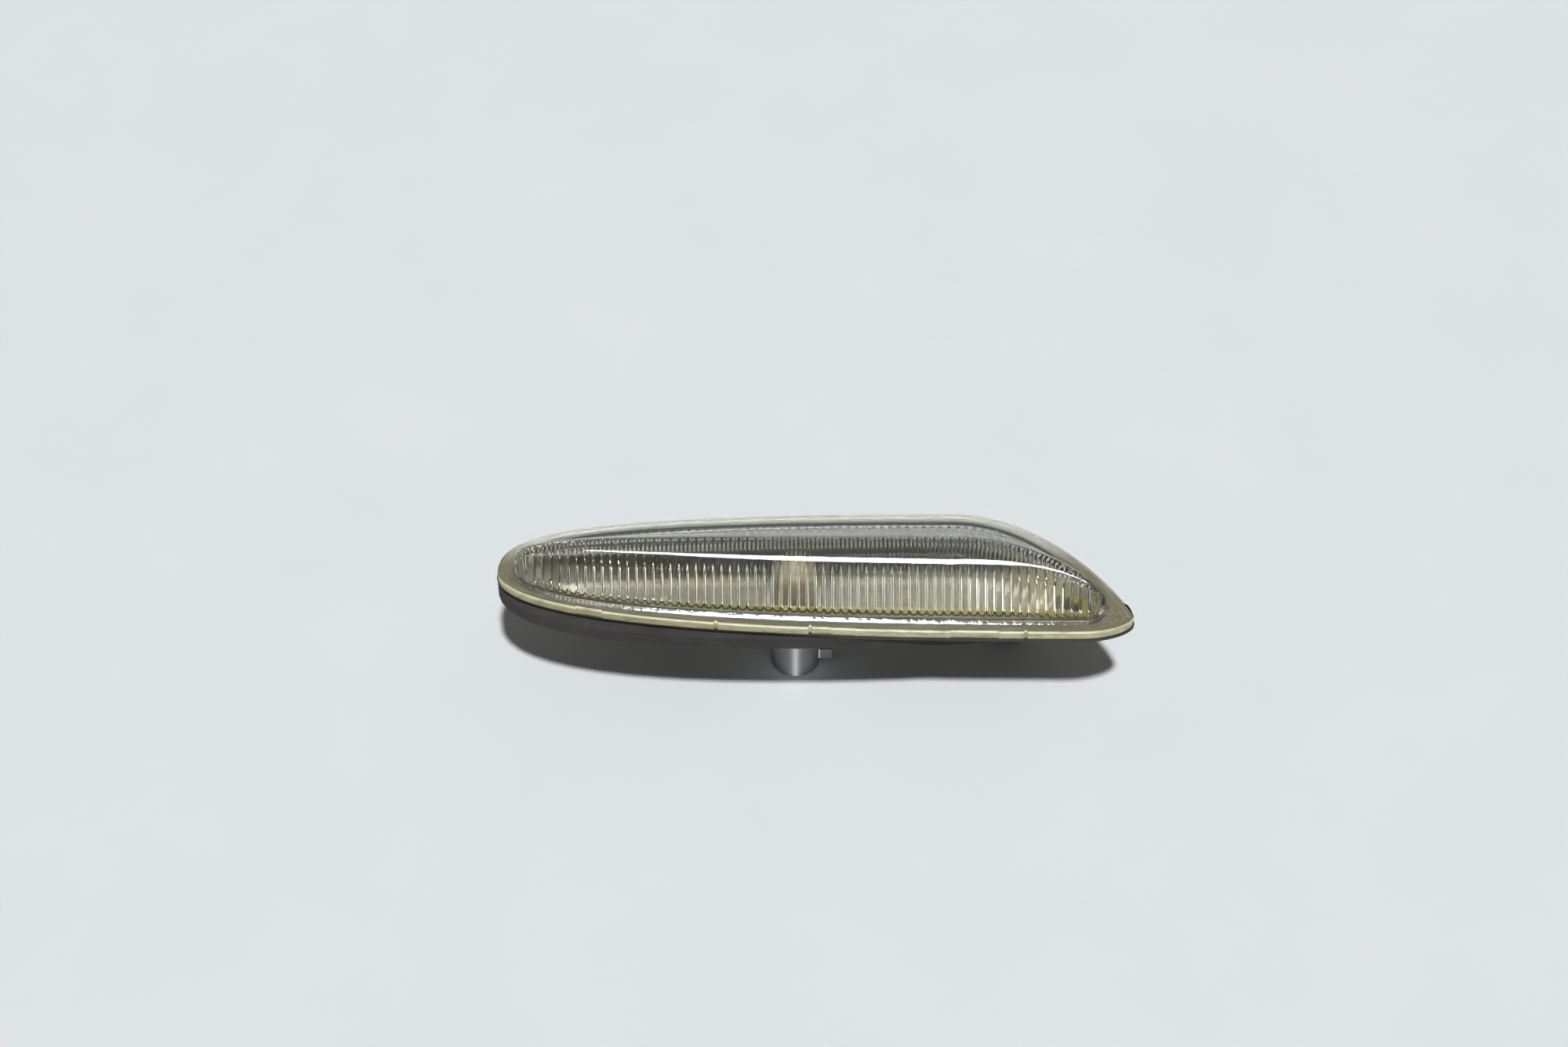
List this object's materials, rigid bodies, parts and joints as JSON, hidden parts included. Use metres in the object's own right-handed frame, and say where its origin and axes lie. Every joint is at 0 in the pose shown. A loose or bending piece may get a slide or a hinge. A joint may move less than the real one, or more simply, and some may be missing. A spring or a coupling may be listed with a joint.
{
  "type": "side repeater lamp",
  "caption": "Leaf-shaped clear side repeater lamp for a car's front wing, with a fluted dome, black housing, foam gasket, amber bulb and round plug holder.",
  "frame": {"origin": "under the middle of the lamp's bounding box, on the surface that it lies on", "axes": "+Z out through the lens, +X along the length to the pointed tip, +Y across the width to the high edge"},
  "size_m": [0.13, 0.033, 0.0361],
  "materials": {
    "lens": "clear moulded acrylic, yellowed at the flange edge",
    "housing": "black moulded plastic",
    "reflector": "vacuum metallised plastic",
    "gasket": "closed-cell foam",
    "bulb_glass": "amber glass",
    "filament": "coiled tungsten wire",
    "lead_wire": "plain wire",
    "holder": "glossy grey plastic",
    "seal": "soft rubber",
    "contact": "stamped brass strip",
    "clip": "spring steel strip"
  },
  "bodies": {
    "root": {"outer_lens": "lens", "housing": "housing", "reflector": "reflector", "flange_gasket": "gasket", "bulb_glass": "bulb_glass", "bulb_filament": "filament", "bulb_lead_wires": "lead_wire", "bulb_holder": "holder", "holder_seal": "seal", "contact_left": "contact", "contact_right": "contact", "spring_clip": "clip"}
  },
  "joints": []
}
